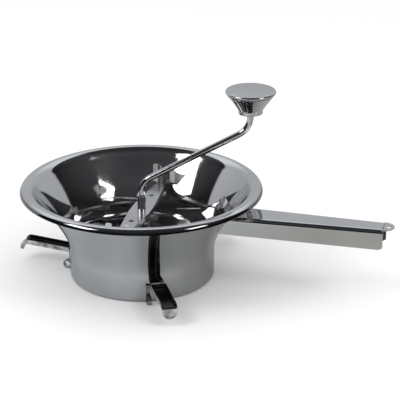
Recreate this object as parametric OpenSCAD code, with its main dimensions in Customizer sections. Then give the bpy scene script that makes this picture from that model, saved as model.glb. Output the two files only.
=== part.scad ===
// Hand cranked rotary food mill (passing mill) in pressed stainless steel.
// Origin: on the drum axis at the base plane. +Z is up, +X runs along the long handle.
// The bridge bar lies along Y. The three hook feet stand 120 degrees apart, one of them
// opposite the handle, all turned a little by foot_turn.

/* [Bowl] */
// Outer radius of the rim
rim_r = 120; // [117:1:124]
// Height of the rim above the base
bowl_h = 95; // [93:1:97]
// Outer radius of the straight drum
drum_r = 72; // [71:0.5:73]
// Height of the straight part of the drum
drum_h = 28; // [24:1:32]
// Width of the flat rim flange
flange_w = 11; // [9:1:13]
// Depth of the turned-down lip
lip_h = 6.5; // [5:0.5:8]
// Sheet thickness of the bowl
wall = 1.0; // [0.8:0.1:1.2]
// Radius of the drum's bottom corner
corner_r = 4; // [3.5:0.5:5]
// Inner radius of the ledge that carries the sieve disc
ledge_r = 64; // [62:1:64]

/* [Handle] */
// Distance of the handle's end from the drum axis
handle_end_r = 243; // [225:1:255]
// Height of the handle's top face
handle_z = 75.5; // [74.5:0.5:77]
// Width of the channel at the bowl
handle_root_w = 36; // [32:1:40]
// Width of the channel at its free end
handle_tip_w = 24; // [20:1:28]
// Depth of the channel's side flanges
handle_flange_h = 17.5; // [15:0.5:19]
// Extra depth of the side flanges at the free end
handle_drop = 2.7; // [0:0.1:4]
// Length of the rounded tongue beyond the flanges
tongue_len = 9.5; // [9:0.5:12]
// Radius of the hanging hole
hang_hole_r = 2.5; // [2:0.25:3]
// Sheet thickness of the handle and feet
strip_t = 1.2; // [1:0.1:1.5]

/* [Feet] */
// Turn of the three feet about the drum axis, in degrees
foot_turn = -2; // [-4:1:4]
// Reach of a foot from the drum axis
foot_reach = 127; // [122:1:130]
// Height of the foot's web at the drum
foot_z = 15.5; // [14:0.5:18]
// Width of the upright strip
foot_strip_w = 9; // [8:0.5:10]
// Lean of the upright strip, in degrees
strip_lean = 5; // [0:1:7]
// Width of the arm
foot_arm_w = 15; // [13:0.5:16]
// Rise of the rear foot's arm, in degrees
rear_rise = 4; // [0:0.5:6]
// Rise of the other two arms, in degrees
side_rise = 0.5; // [0:0.5:6]
// Depth of the arm's side flanges
foot_flange_h = 5; // [4:0.5:6]
// Outer radius of the catch's rolled end
catch_curl_r = 4.4; // [3.8:0.1:4.8]
// Width of the catch strip
catch_w = 4; // [3:0.5:5]

/* [Bridge] */
// Height of the bridge bar's top face
bridge_z = 70; // [68:0.5:71]
// Width of the bar at its middle
bridge_mid_w = 21; // [19:1:22]
// Width of the bar at its shoulders
bridge_end_w = 12; // [11:0.5:14]
// Distance of the shoulders from the axis
bridge_shoulder = 64; // [60:1:66]
// Distance of the tongue's end from the axis
bridge_end = 86.5; // [85:0.5:87]
// Sheet thickness of the bar
bridge_t = 1.5; // [1.2:0.1:2]
// Radius of the two round holes in the bar
bridge_hole_r = 2.5; // [2:0.25:3]
// Height of the bush above the bar
bush_h = 11.6; // [11:0.2:13]

/* [Crank] */
// Radius of the crank rod
rod_r = 3.25; // [3:0.05:3.5]
// Distance of the knob from the spindle
crank_r = 107.3; // [104:0.1:110]
// Height at which the sloping stretch meets the spindle's line
crank_low_z = 97.4; // [96:0.2:100]
// Slope of the crank, in degrees
crank_slope = 26.5; // [25:0.5:28]
// Rest azimuth of the crank, in degrees
crank_az = 18; // [0:1:45]
// Radius of the knob's top
knob_r = 24.8; // [22:0.2:27]
// Radius of the knob's neck
knob_neck_r = 12.2; // [11:0.2:13]
// Height of the knob
knob_h = 24; // [22:0.5:26]

/* [Blade and disc] */
// Outer radius of the blade
blade_r = 68.4; // [67:0.2:68.6]
// Angle that the blade covers, in degrees
blade_span = 215; // [180:5:240]
// Height of the blade's trailing edge above its scraping edge
blade_rise = 32; // [28:1:33]
// Radius of the sieve disc
disc_r = 67.4; // [66:0.2:67.6]
// Radius of a hole in the sieve disc
sieve_hole_r = 1.6; // [1:0.1:1.8]
// Number of hole rings in the sieve disc
sieve_rings = 7; // [5:1:7]
// Outer radius of the press spring
spring_r = 8; // [7.4:0.2:8.2]
// Wire radius of the press spring
wire_r = 0.9; // [0.7:0.1:1.1]
// Number of spring turns
spring_turns = 5; // [4:0.5:6]

/* [Hidden] */

ROUND = 240;
gap = 0.3;
fit = 0.06;
flare_steps = 12;

// Bridge bar and what hangs below it
bar_low = bridge_z - bridge_t;
bar_flange_h = 5;
tongue_w = 8;
bush_r = 4.2;
swage_r = 6;
swage_t = 1;

// Stack on the sieve disc
disc_z = wall;
disc_t = 1;
disc_top = disc_z + disc_t;
blade_z = disc_top + gap;
blade_t = 1.2;
boss_r = 5.5;
boss_top = disc_top + 5;
hub_r = 9;
hub_z = disc_top + 1;
hub_top = 37;
pin_z = 18;
pin_r = 1.5;
seat_z = hub_top + gap;
seat_t = 1.5;
spring_z = seat_z + seat_t;
spring_top = bar_low - swage_t;
rod_foot_z = 0.4;

// Crank path: two bends join the upright ends to the sloping stretch
bend_low = 17;
bend_turn = 90 - crank_slope;
crank_high_z = crank_low_z + crank_r * tan(crank_slope);
knob_z = 167;
bend_high = min(20, (knob_z - 2 - crank_high_z) / tan(bend_turn / 2));
low_tangent = bend_low * tan(bend_turn / 2);
high_tangent = bend_high * tan(bend_turn / 2);
slope_len = crank_r / cos(crank_slope);
bush_top = bridge_z + bush_h;

// Knob stack on the rod's upper end
knob_top = knob_z + knob_h;
knob_shoulder_z = knob_z + 1;
knob_shoulder_t = 1.5;
knob_bush_z = knob_shoulder_z + knob_shoulder_t + gap;
knob_bush_top = knob_top - 9;
knob_washer_t = 1;
knob_washer_z = knob_bush_top + gap;
rod_head_z = knob_washer_z + knob_washer_t;
rod_head_h = 1.6;
skirt_t = 1;

// Joint of the handle with the bowl
rivet_turn = 5;
rivet_r = 2;
rivet_head_r = 4;
rivet_head_h = 1.6;
rivet_pos = 0.62;
rivet_lift = 0.3;
plate_low = handle_z - handle_flange_h;
handle_corner = 2;

// ---------------------------------------------------------------- outlines

function curve(a, b, c, d, t) =
    a * pow(1 - t, 3) + 3 * b * t * pow(1 - t, 2) + 3 * c * t * t * (1 - t) + d * pow(t, 3);

function arc(centre, r, from, to, steps) =
    [for (i = [0:steps]) let (a = from + (to - from) * i / steps) centre + r * [cos(a), sin(a)]];

function reversed(p) = [for (i = [len(p) - 1:-1:0]) p[i]];

function left_normal(v) = [-v[1], v[0]] / norm(v);

// Moves a path sideways by d, to the left of its direction, with mitred corners.
function shifted(p, d) = [
    for (i = [0:len(p) - 1])
        let (
            a = left_normal(p[min(i + 1, len(p) - 1)] - p[min(i, len(p) - 2)]),
            b = left_normal(p[max(i, 1)] - p[max(i - 1, 0)]),
            n = (a + b) / norm(a + b)
        )
        p[i] + n * d / (n * a)
];

under_z = bowl_h - wall;
flare_a = [drum_r, drum_h];
flare_b = [drum_r, drum_h + 19];
flare_c = [rim_r - flange_w - 18, bowl_h - 26];
flare_d = [rim_r - flange_w, under_z - 1];

function flare(t) = curve(flare_a, flare_b, flare_c, flare_d, t);

// Outside of the bowl, from the inner edge of the ledge up to the flange.
drum_path = concat(
    [[ledge_r, 0]],
    arc([drum_r - corner_r, corner_r], corner_r, -90, 0, 6),
    [for (i = [0:flare_steps]) flare(i / flare_steps)]
);
lip_bend = 4;
rim_path = concat(
    [[rim_r - flange_w + 1.5, under_z - 0.3]],
    arc([rim_r - wall - lip_bend, under_z - lip_bend], lip_bend, 90, 0, 8),
    [[rim_r - wall, bowl_h - lip_h]]
);
bowl_path = concat(drum_path, rim_path);

// A band that follows the flare's outside, from d0 to d1 outward of it.
module flare_band(d0, d1) {
    p = [for (i = [0:flare_steps]) flare(i / flare_steps)];
    rotate_extrude($fn = ROUND) polygon(concat(shifted(p, -d0), reversed(shifted(p, -d1))));
}

// Everything inside the bowl's outer surface.
module bowl_solid() {
    rotate_extrude($fn = ROUND) polygon(concat([[0, 0]], drum_path, [[0, flare_d[1]]]));
}

// The room inside the bowl.
module bowl_room() {
    p = shifted(drum_path, wall);
    rotate_extrude($fn = ROUND) polygon(concat([[0, wall]], p, [[0, p[len(p) - 1][1]]]));
}

// ---------------------------------------------------------------- bowl

module bowl() {
    color("silver") difference() {
        rotate_extrude($fn = ROUND) polygon(concat(bowl_path, reversed(shifted(bowl_path, wall))));
        rivet_shanks();
    }
}

// Places children on the flare's outside at handle height, with Z along the outward normal.
module on_flare(t) {
    p = flare(t);
    v = flare(t + 0.01) - flare(t - 0.01);
    translate([p[0], 0, p[1]]) rotate([0, 90 + atan2(v[0], v[1]), 0]) children();
}

module at_rivets() {
    for (a = [-rivet_turn, rivet_turn]) rotate([0, 0, a]) on_flare(rivet_pos) children();
}

module rivet_shanks() {
    at_rivets() cylinder(r = rivet_r, h = 8, center = true, $fn = 24);
}

module rivet_head() {
    rotate_extrude($fn = 32)
        polygon(concat([[0, 0], [rivet_head_r, 0]], [for (a = [15:15:90])
            [rivet_head_r * cos(a), rivet_head_h * sin(a)]]));
}

module handle_rivets() {
    color("gainsboro") at_rivets() {
        translate([0, 0, -wall - rivet_lift])
            cylinder(r = rivet_r, h = wall + strip_t + 2 * rivet_lift, $fn = 24);
        translate([0, 0, strip_t + rivet_lift]) rivet_head();
        translate([0, 0, -wall - rivet_lift]) mirror([0, 0, 1]) rivet_head();
    }
}

// ---------------------------------------------------------------- handle

// Outline of the handle's top in plan, drawn in by d on each side.
module handle_plan(d) {
    root = handle_root_w / 2 - d;
    tip = handle_tip_w / 2 - d;
    polygon([[60, -root], [handle_end_r, -tip], [handle_end_r, tip], [60, root]]);
}

module handle_channel() {
    low = handle_z - handle_flange_h;
    end_low = low - handle_drop;
    difference() {
        intersection() {
            translate([0, 0, end_low]) linear_extrude(height = handle_z - end_low) handle_plan(0);
            // side view: the lower edges drop towards the free end
            rotate([90, 0, 0]) linear_extrude(height = 100, center = true) polygon([
                [60, low], [handle_end_r - handle_corner, end_low], [handle_end_r, end_low + handle_corner],
                [handle_end_r + 1, handle_z + 1], [60, handle_z + 1]
            ]);
        }
        translate([0, 0, end_low - 1])
            linear_extrude(height = handle_z - strip_t - end_low + 1) handle_plan(strip_t);
        translate([handle_end_r - 1, -50, end_low - 1])
            cube([10, 100, handle_z - strip_t - end_low + 1]);
    }
}

module handle_tongue() {
    w = handle_tip_w / 2 - 1.5;
    translate([0, 0, handle_z - strip_t]) linear_extrude(height = strip_t) {
        intersection() {
            translate([handle_end_r + tongue_len - w, 0]) circle(r = w, $fn = 96);
            translate([handle_end_r - 1, -w]) square([tongue_len + 1, 2 * w]);
        }
    }
}

module handle() {
    color("silver") difference() {
        union() {
            difference() {
                handle_channel();
                bowl_solid();
            }
            handle_tongue();
            // tab that lies on the flare and carries the rivets
            intersection() {
                flare_band(0, strip_t);
                translate([70, -handle_root_w / 2 + 2, plate_low])
                    cube([60, handle_root_w - 4, handle_flange_h]);
            }
        }
        rivet_shanks();
        translate([handle_end_r + tongue_len - 5.5, 0, handle_z - 5])
            cylinder(r = hang_hole_r, h = 10, $fn = 48);
    }
}

// ---------------------------------------------------------------- feet and catches

strip_top_t = 0.9;
strip_shift = 3.8;
strip_edge = 1.9;

function foot_end(rise) = [foot_reach - 4, foot_z + (foot_reach - 4 - drum_r) * tan(rise)];

function strip_line() = [for (i = [round(flare_steps * strip_top_t):-1:0]) flare(i / flare_steps)];

// Side view of the arm: from the drum, round the root bend, out and down at the tip.
function arm_path(rise) = concat(
    [[drum_r, foot_z + 9]],
    arc([drum_r + 3, foot_z + 3], 3, 180, 270 + rise, 6),
    arc(foot_end(rise) + [0, -4], 4, 90 + rise, 25, 6),
    [foot_end(rise) + [5.2, -8.5]]
);

// Side view of the arm's flanges, with their tops eased into the strip at the root.
module foot_side(rise) {
    up = foot_flange_h;
    tip = foot_end(rise);
    polygon([
        [drum_r + 3, foot_z], tip + [-1, -0.5], tip + [1, 1], tip + [0.5, up - 1.5], tip + [-1.5, up],
        [drum_r + 7, foot_z + up + 0.5], [drum_r + 4, foot_z + up + 2], [drum_r + strip_edge, foot_z + 10],
        [drum_r, foot_z + 10], [drum_r, foot_z]
    ]);
}

module upright(y, w) {
    translate([0, y + w / 2, 0]) rotate([90, 0, 0]) linear_extrude(height = w) children();
}

// Strip up the flare with two low edges, leaning sideways towards its top.
module foot_strip() {
    half = foot_strip_w / 2;
    low = concat(strip_line(), [[drum_r, foot_z + 6]]);
    translate([-0.06, -strip_shift, foot_z + 8]) rotate([strip_lean, 0, 0]) translate([0, 0, -foot_z - 8]) {
        upright(0, foot_strip_w) polygon(concat(low, reversed(shifted(low, strip_t + 0.1))));
        for (s = [-1, 1]) upright(s * (half - strip_t / 2), strip_t)
            polygon(concat(low, reversed(shifted(low, strip_edge))));
    }
}

module foot(az, rise) {
    half = foot_arm_w / 2;
    path = arm_path(rise);
    color("dimgray") rotate([0, 0, az + foot_turn]) translate([gap / 2, 0, 0]) {
        intersection() {
            union() {
                upright(0, foot_arm_w) polygon(concat(path, reversed(shifted(path, strip_t))));
                for (s = [-1, 1]) upright(s * (half - strip_t / 2), strip_t) foot_side(rise);
            }
            // plan of the arm with its rounded tip
            linear_extrude(height = foot_z + 16) {
                translate([drum_r - 4, -half]) square([foot_reach + 3 - half - drum_r + 4, 2 * half]);
                translate([foot_reach + 3 - half, 0]) circle(r = half, $fn = 64);
            }
        }
        foot_strip();
    }
}

module foot_rear() { foot(180, rear_rise); }
module foot_left() { foot(60, side_rise); }
module foot_right() { foot(-60, side_rise); }

rear_catch_y = 9.5;
side_catch_y = -9.5;
catch_t = 1.2;
catch_off = 1.2;
catch_top = 19;
curl_z = catch_curl_r + gap;

// Spring strip beside a foot whose rolled end holds the edge of the drum.
module catch(az, y) {
    out = sqrt(drum_r * drum_r - y * y);
    curl_x = out + catch_curl_r + 0.5;
    color("gainsboro") rotate([0, 0, az + foot_turn]) difference() {
        union() {
            translate([out + catch_off, y - catch_w / 2, curl_z])
                cube([catch_t, catch_w, catch_top - curl_z]);
            translate([curl_x, y, curl_z]) rotate([90, 0, 0])
                cylinder(r = catch_curl_r, h = catch_w, center = true, $fn = 48);
        }
        translate([curl_x, y, curl_z]) rotate([90, 0, 0])
            cylinder(r = catch_curl_r - catch_t, h = catch_w + 1, center = true, $fn = 48);
        bowl_solid();
    }
}

module catch_rear() { catch(180, rear_catch_y); }
module catch_left() { catch(60, side_catch_y); }
module catch_right() { catch(-60, side_catch_y); }

// ---------------------------------------------------------------- bridge

bracket_r = 82;
bracket_top = 85.5;
ear_w = 6.5;
slot_half = 5;

// Bracket on the flare's inside: a shelf between two ears that the bar's tongue drops into.
module bridge_bracket(side) {
    color("silver") mirror([0, side < 0 ? 1 : 0, 0]) intersection() {
        union() {
            translate([-slot_half - strip_t, bracket_r, bar_low - strip_t])
                cube([2 * (slot_half + strip_t), 40, strip_t]);
            for (s = [-1, 1]) {
                translate([s > 0 ? slot_half : -slot_half - strip_t, 0, 0])
                    rotate([90, 0, 90]) linear_extrude(height = strip_t) polygon([
                        [bracket_r, bar_low - strip_t], [bracket_r + 30, bar_low - strip_t],
                        [bracket_r + 16, bar_low + 8], [bracket_r + 3, bracket_top - 1],
                        [bracket_r, bracket_top]
                    ]);
                translate([s > 0 ? slot_half : -slot_half - ear_w, bracket_r, bar_low - strip_t])
                    cube([ear_w, strip_t, bracket_top - bar_low + strip_t]);
                // dimples that the tongue snaps under
                translate([s * (slot_half + 0.6), bracket_r + 2.5, bridge_z + 1.9]) rotate([90, 0, 0])
                    cylinder(r = 1.6, h = 3, center = true, $fn = 32);
            }
        }
        bowl_room();
    }
}

module bridge_bracket_left() { bridge_bracket(1); }
module bridge_bracket_right() { bridge_bracket(-1); }

// Half plan of the bar along +Y, drawn in by d on its long edges.
function bar_half(d) = [
    [bridge_mid_w / 2 - d, -0.01], [bridge_mid_w / 2 - d, 12],
    [bridge_end_w / 2 - d, bridge_shoulder], [0, bridge_shoulder], [0, -0.01]
];

module bar_plan(d) {
    for (m = [0, 1], n = [0, 1]) mirror([m, 0]) mirror([0, n]) polygon(bar_half(d));
}

module bridge_bar() {
    color("silver") difference() {
        union() {
            difference() {
                translate([0, 0, bridge_z - bar_flange_h]) linear_extrude(height = bar_flange_h) bar_plan(0);
                translate([0, 0, bridge_z - bar_flange_h - 1])
                    linear_extrude(height = bar_flange_h - bridge_t + 1) bar_plan(bridge_t);
                for (s = [-1, 1]) translate([-20, s * bridge_shoulder - 1, bridge_z - bar_flange_h - 1])
                    cube([40, 2, bar_flange_h - bridge_t + 1]);
            }
            translate([-tongue_w / 2, -bridge_end, bar_low]) cube([tongue_w, 2 * bridge_end, bridge_t]);
        }
        translate([0, 0, bar_low - 1]) cylinder(r = bush_r, h = 4, $fn = 48);
        for (s = [-1, 1]) translate([0, s * 35, bar_low - 1])
            cylinder(r = bridge_hole_r, h = 4, $fn = 32);
    }
}

module spindle_bush() {
    color("gray") difference() {
        union() {
            translate([0, 0, bar_low - swage_t]) cylinder(r = swage_r, h = swage_t, $fn = 48);
            translate([0, 0, bar_low]) cylinder(r = bush_r, h = bush_top - bar_low, $fn = 48);
        }
        translate([0, 0, bar_low - 5]) cylinder(r = rod_r + fit, h = bush_h + 12, $fn = 48);
    }
}

// ---------------------------------------------------------------- sieve disc

module sieve_disc() {
    pitch = (disc_r - 8) / sieve_rings;
    color("lightgray") difference() {
        union() {
            translate([0, 0, disc_z]) cylinder(r = disc_r, h = disc_t, $fn = ROUND);
            // raised boss that steadies the spindle's foot
            translate([0, 0, disc_z]) cylinder(r = boss_r, h = boss_top - disc_z, $fn = 48);
        }
        translate([0, 0, disc_z - 1]) cylinder(r = rod_r + fit, h = 12, $fn = 48);
        for (ring = [1:sieve_rings], i = [0:6 * ring - 1])
            rotate([0, 0, 60 * i / ring]) translate([4 + ring * pitch, 0, disc_z - 1])
                cylinder(r = sieve_hole_r, h = disc_t + 2, $fn = 16);
    }
}

// ---------------------------------------------------------------- spring

// Points of one wire ring, square to the helix.
function wire_ring(a, z, r, n) = [
    for (k = [0:n - 1]) let (b = 360 * k / n)
        [(r + wire_r * cos(b)) * cos(a), (r + wire_r * cos(b)) * sin(a), z + wire_r * sin(b)]
];

module press_spring() {
    n = 8;
    rings = round(spring_turns * 18);
    low = spring_z + wire_r + 0.05;
    high = spring_top - wire_r - 0.05;
    points = [
        for (i = [0:rings]) each wire_ring(360 * spring_turns * i / rings, low + (high - low) * i / rings,
            spring_r - wire_r, n)
    ];
    sides = [
        for (i = [0:rings - 1], k = [0:n - 1])
            [i * n + k, i * n + (k + 1) % n, (i + 1) * n + (k + 1) % n, (i + 1) * n + k]
    ];
    ends = [[for (k = [n - 1:-1:0]) k], [for (k = [0:n - 1]) rings * n + k]];
    color("slategray") polyhedron(points, concat(sides, ends), convexity = 10);
}

module spring_seat() {
    color("gray") translate([0, 0, seat_z]) difference() {
        cylinder(r = spring_r + 1, h = seat_t, $fn = 64);
        translate([0, 0, -1]) cylinder(r = rod_r + gap, h = seat_t + 2, $fn = 48);
    }
}

// ---------------------------------------------------------------- crank

// The bends are a hair thinner than the straights, whose ends reach over them.
bend_step = 0.02;
lap = 0.3;

module rod_bend(r, turn) {
    rotate_extrude(angle = turn, $fn = 64) translate([r, 0]) circle(r = rod_r - bend_step, $fn = 48);
}

module crank_rod() {
    low_end = crank_low_z - low_tangent;
    high_end = crank_high_z + high_tangent;
    run = slope_len - low_tangent - high_tangent;
    color("silver") rotate([0, 0, crank_az]) difference() {
        union() {
            // spindle with its pointed foot
            translate([0, 0, rod_foot_z + 1])
                cylinder(r = rod_r, h = low_end - rod_foot_z - 1 + lap, $fn = 48);
            translate([0, 0, rod_foot_z]) cylinder(r1 = rod_r - 0.8, r2 = rod_r, h = 1, $fn = 48);
            translate([bend_low, 0, low_end]) rotate([90, 0, 0]) rotate([0, 0, 180 - bend_turn])
                rod_bend(bend_low, bend_turn);
            translate([0, 0, crank_low_z]) rotate([0, 90 - crank_slope, 0])
                translate([0, 0, low_tangent - lap]) cylinder(r = rod_r, h = run + 2 * lap, $fn = 48);
            translate([crank_r - bend_high, 0, high_end]) rotate([90, 0, 0])
                rotate([0, 0, -bend_turn]) rod_bend(bend_high, bend_turn);
            translate([crank_r, 0, high_end - lap])
                cylinder(r = rod_r, h = rod_head_z - high_end + 2 * lap, $fn = 48);
            translate([crank_r, 0, knob_shoulder_z])
                cylinder(r = rod_r + 1.4, h = knob_shoulder_t, $fn = 48);
            translate([crank_r, 0, rod_head_z])
                cylinder(r1 = rod_r + 1.2, r2 = rod_r, h = rod_head_h, $fn = 48);
        }
        translate([0, 0, pin_z]) rotate([0, 90, 0]) cylinder(r = pin_r, h = 30, center = true, $fn = 32);
    }
}

// Collar pinched on the spindle above the bush.
module stop_collar() {
    color("gainsboro") translate([0, 0, bush_top + gap]) difference() {
        cylinder(r = rod_r + 1.3, h = 2, $fn = 48);
        translate([0, 0, -1]) cylinder(r = rod_r, h = 4, $fn = 48);
    }
}

module cross_pin() {
    color("gray") rotate([0, 0, crank_az]) translate([0, 0, pin_z]) rotate([0, 90, 0])
        cylinder(r = pin_r, h = 2 * hub_r + 1, center = true, $fn = 32);
}

// ---------------------------------------------------------------- blade

blade_steps = 36;
blade_rows = 4;
blade_in = hub_r - 0.3;

// Height of the blade's underside: flat along the scraping edge, then rising.
function blade_height(a) = blade_z + blade_rise * pow(a / blade_span, 1.3);

function blade_point(i, j, up) =
    let (
        a = blade_span * i / blade_steps,
        r = blade_in + (blade_r - blade_in) * j / blade_rows
    ) [r * cos(a), r * sin(a), blade_height(a) + up];

module blade() {
    m = blade_rows + 1;
    sheet = (blade_steps + 1) * m;
    points = [
        for (up = [0, blade_t], i = [0:blade_steps], j = [0:blade_rows]) blade_point(i, j, up)
    ];
    function at(i, j, top) = top * sheet + i * m + j;
    faces = [
        for (i = [0:blade_steps - 1], j = [0:blade_rows - 1]) each [
            [at(i, j, 0), at(i + 1, j, 0), at(i + 1, j + 1, 0)],
            [at(i, j, 0), at(i + 1, j + 1, 0), at(i, j + 1, 0)],
            [at(i, j, 1), at(i + 1, j + 1, 1), at(i + 1, j, 1)],
            [at(i, j, 1), at(i, j + 1, 1), at(i + 1, j + 1, 1)]
        ],
        for (i = [0:blade_steps - 1]) each [
            [at(i, 0, 0), at(i, 0, 1), at(i + 1, 0, 1)], [at(i, 0, 0), at(i + 1, 0, 1), at(i + 1, 0, 0)],
            [at(i, m - 1, 0), at(i + 1, m - 1, 1), at(i, m - 1, 1)],
            [at(i, m - 1, 0), at(i + 1, m - 1, 0), at(i + 1, m - 1, 1)]
        ],
        for (j = [0:blade_rows - 1]) each [
            [at(0, j, 0), at(0, j + 1, 0), at(0, j + 1, 1)], [at(0, j, 0), at(0, j + 1, 1), at(0, j, 1)],
            [at(blade_steps, j, 0), at(blade_steps, j + 1, 1), at(blade_steps, j + 1, 0)],
            [at(blade_steps, j, 0), at(blade_steps, j, 1), at(blade_steps, j + 1, 1)]
        ]
    ];
    color("darkgray") rotate([0, 0, blade_az]) polyhedron(points, faces, convexity = 6);
}

blade_az = -60;

module blade_hub() {
    color("gray") difference() {
        translate([0, 0, hub_z]) cylinder(r = hub_r, h = hub_top - hub_z, $fn = 64);
        translate([0, 0, hub_z - 1]) cylinder(r = rod_r, h = hub_top, $fn = 48);
        // room for the disc's boss
        translate([0, 0, hub_z - 1]) cylinder(r = boss_r + 0.7, h = boss_top + 0.6 - hub_z + 1, $fn = 48);
        rotate([0, 0, crank_az]) translate([0, 0, pin_z]) rotate([0, 90, 0])
            cylinder(r = pin_r, h = 30, center = true, $fn = 32);
    }
}

// ---------------------------------------------------------------- knob

module at_knob() {
    rotate([0, 0, crank_az]) translate([crank_r, 0, 0]) children();
}

module knob_washer() {
    color("gray") at_knob() translate([0, 0, knob_washer_z]) difference() {
        cylinder(r = 7, h = knob_washer_t, $fn = 48);
        translate([0, 0, -1]) cylinder(r = rod_r, h = 4, $fn = 48);
    }
}

module knob_bush() {
    color("dimgray") at_knob() difference() {
        translate([0, 0, knob_bush_z])
            cylinder(r = knob_neck_r - skirt_t, h = knob_bush_top - knob_bush_z, $fn = 64);
        translate([0, 0, knob_bush_z - 1]) cylinder(r = rod_r + fit, h = 40, $fn = 48);
    }
}

rim_z = knob_top - 4;

// Outside of the knob's hollow skirt, from its neck up to just below the cap.
skirt_path = concat(
    [[knob_neck_r - 3.5, knob_z], [knob_neck_r - 1, knob_z], [knob_neck_r, knob_z + 1]],
    [[knob_neck_r, knob_z + 4]],
    [for (i = [1:10]) curve([knob_neck_r, knob_z + 4], [knob_neck_r + 2, knob_z + 7],
        [knob_r - 5.5, rim_z - 6], [knob_r - 1.6, rim_z - 1], i / 10)]
);

module knob_skirt() {
    color("silver") at_knob() rotate_extrude($fn = ROUND)
        polygon(concat(skirt_path, reversed(shifted(skirt_path, skirt_t))));
}

// Outside of the cap: a rolled bead, then the crowned top.
cap_path = concat(
    [[knob_r - 1.4, rim_z]],
    arc([knob_r - 1.6, rim_z + 1.6], 1.6, -60, 60, 6),
    [for (i = [1:5]) [(knob_r - 1.2) * cos(18 * i), knob_top - 1.6 + 1.6 * sin(18 * i)]]
);

module knob_cap() {
    color("silver") at_knob() rotate_extrude($fn = ROUND)
        polygon(concat(cap_path, [[0, knob_top - skirt_t], [knob_r - 5, rim_z + 1.4], [knob_r - 5, rim_z]]));
}

// ---------------------------------------------------------------- drawing

bowl();
handle();
handle_rivets();
foot_rear();
foot_left();
foot_right();
catch_rear();
catch_left();
catch_right();
bridge_bracket_left();
bridge_bracket_right();
bridge_bar();
spindle_bush();
sieve_disc();
press_spring();
spring_seat();
crank_rod();
stop_collar();
cross_pin();
blade();
blade_hub();
knob_washer();
knob_bush();
knob_skirt();
knob_cap();
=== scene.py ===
import math

import bpy
from mathutils import Matrix, Vector


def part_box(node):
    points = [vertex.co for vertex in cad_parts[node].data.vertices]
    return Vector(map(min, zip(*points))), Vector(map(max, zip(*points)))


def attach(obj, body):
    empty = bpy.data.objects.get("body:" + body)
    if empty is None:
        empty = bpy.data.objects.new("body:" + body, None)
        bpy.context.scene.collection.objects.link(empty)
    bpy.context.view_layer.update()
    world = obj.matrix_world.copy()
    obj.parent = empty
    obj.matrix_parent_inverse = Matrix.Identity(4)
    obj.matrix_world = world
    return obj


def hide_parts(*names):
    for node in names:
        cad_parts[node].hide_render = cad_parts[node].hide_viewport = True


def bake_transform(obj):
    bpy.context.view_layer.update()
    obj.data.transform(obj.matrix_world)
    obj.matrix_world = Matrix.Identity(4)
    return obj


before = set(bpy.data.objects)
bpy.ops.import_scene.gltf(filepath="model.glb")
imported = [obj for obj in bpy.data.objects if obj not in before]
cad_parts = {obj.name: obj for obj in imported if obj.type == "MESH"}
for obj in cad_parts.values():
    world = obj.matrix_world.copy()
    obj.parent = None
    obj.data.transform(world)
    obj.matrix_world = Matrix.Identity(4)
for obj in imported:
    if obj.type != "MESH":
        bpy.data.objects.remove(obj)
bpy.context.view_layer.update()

MM = 0.001

# Sizes in millimetres. A name that the CAD source has too, in small letters, has the same value there.
RIM_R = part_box("bowl")[1].x / MM
BOWL_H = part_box("bowl")[1].z / MM
DRUM_R, DRUM_H = 72.0, 28.0
FLANGE_W, LIP_H, WALL = 11.0, 6.5, 1.0
CORNER_R, LEDGE_R = 4.0, 64.0
HANDLE_END, HANDLE_Z = 243.0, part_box("handle")[1].z / MM
HANDLE_ROOT_W, HANDLE_TIP_W, HANDLE_FLANGE, HANDLE_DROP = 36.0, 24.0, 17.5, 2.7
HANDLE_ROOT, HANDLE_ROUND = 60.0, 4.0
TONGUE, HANG_HOLE_R, STRIP_T = 9.5, 2.5, 1.2
FOOT_TURN, FOOT_REACH, FOOT_Z = -2.0, 127.0, 15.5
FOOT_STRIP_W, STRIP_LEAN, STRIP_SHIFT, FOOT_ARM_W = 9.0, 5.0, 3.8, 15.0
REAR_RISE, SIDE_RISE, FOOT_FLANGE, STRIP_EDGE = 4.0, 0.5, 5.0, 1.9
FOOT_BEND, STRIP_SHARE = 4.0, 0.9
CURL_R, CATCH_W, CATCH_T, CATCH_OFF, CATCH_TOP = 4.4, 4.0, 1.2, 1.2, 19.0
BRIDGE_Z, BRIDGE_T, BAR_FLANGE = 70.0, 1.5, 5.0
BRIDGE_MID_W, BRIDGE_END_W, SHOULDER, BRIDGE_END = 21.0, 12.0, 64.0, 86.5
TONGUE_W, BAR_STRAIGHT, BAR_HOLE_R, BAR_HOLE_Y, BUSH_R = 8.0, 12.0, 2.5, 35.0, 4.2
BRACKET_R, BRACKET_TOP, EAR_W, SLOT_HALF = 82.0, 85.5, 6.5, 5.0
ROD_R, CRANK_R, LOW_Z, SLOPE, CRANK_AZ = 3.25, 107.3, 97.4, 26.5, 18.0
BEND_LOW, BEND_HIGH = 17.0, 20.0
KNOB_Z, KNOB_R, NECK_R, KNOB_H, SKIRT_T = 167.0, 24.8, 12.2, 24.0, 1.0
BLADE_R, BLADE_SPAN, BLADE_RISE, BLADE_AZ, BLADE_T, HUB_R = 68.4, 215.0, 32.0, -60.0, 1.2, 9.0
DISC_R, DISC_T, BOSS_R = 67.4, 1.0, 5.5
SPRING_R, WIRE_R, SPRING_TURNS, SPRING_LOW, SPRING_HIGH = 8.0, 0.9, 5.0, 38.8, 67.5
ROD_FOOT_Z, BLADE_Z, BOSS_TOP = 0.4, 2.3, 7.0
KNOB_RIM_Z = KNOB_Z + KNOB_H - 4
UNDER_Z = BOWL_H - WALL
TOUCH = 0.15  # how far sheets that lie on the bowl keep off its wall

# Where the pale backdrop stands, as an azimuth and half its width in degrees
BACKDROP_AZ, BACKDROP_HALF = 110.0, 67.0

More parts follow.
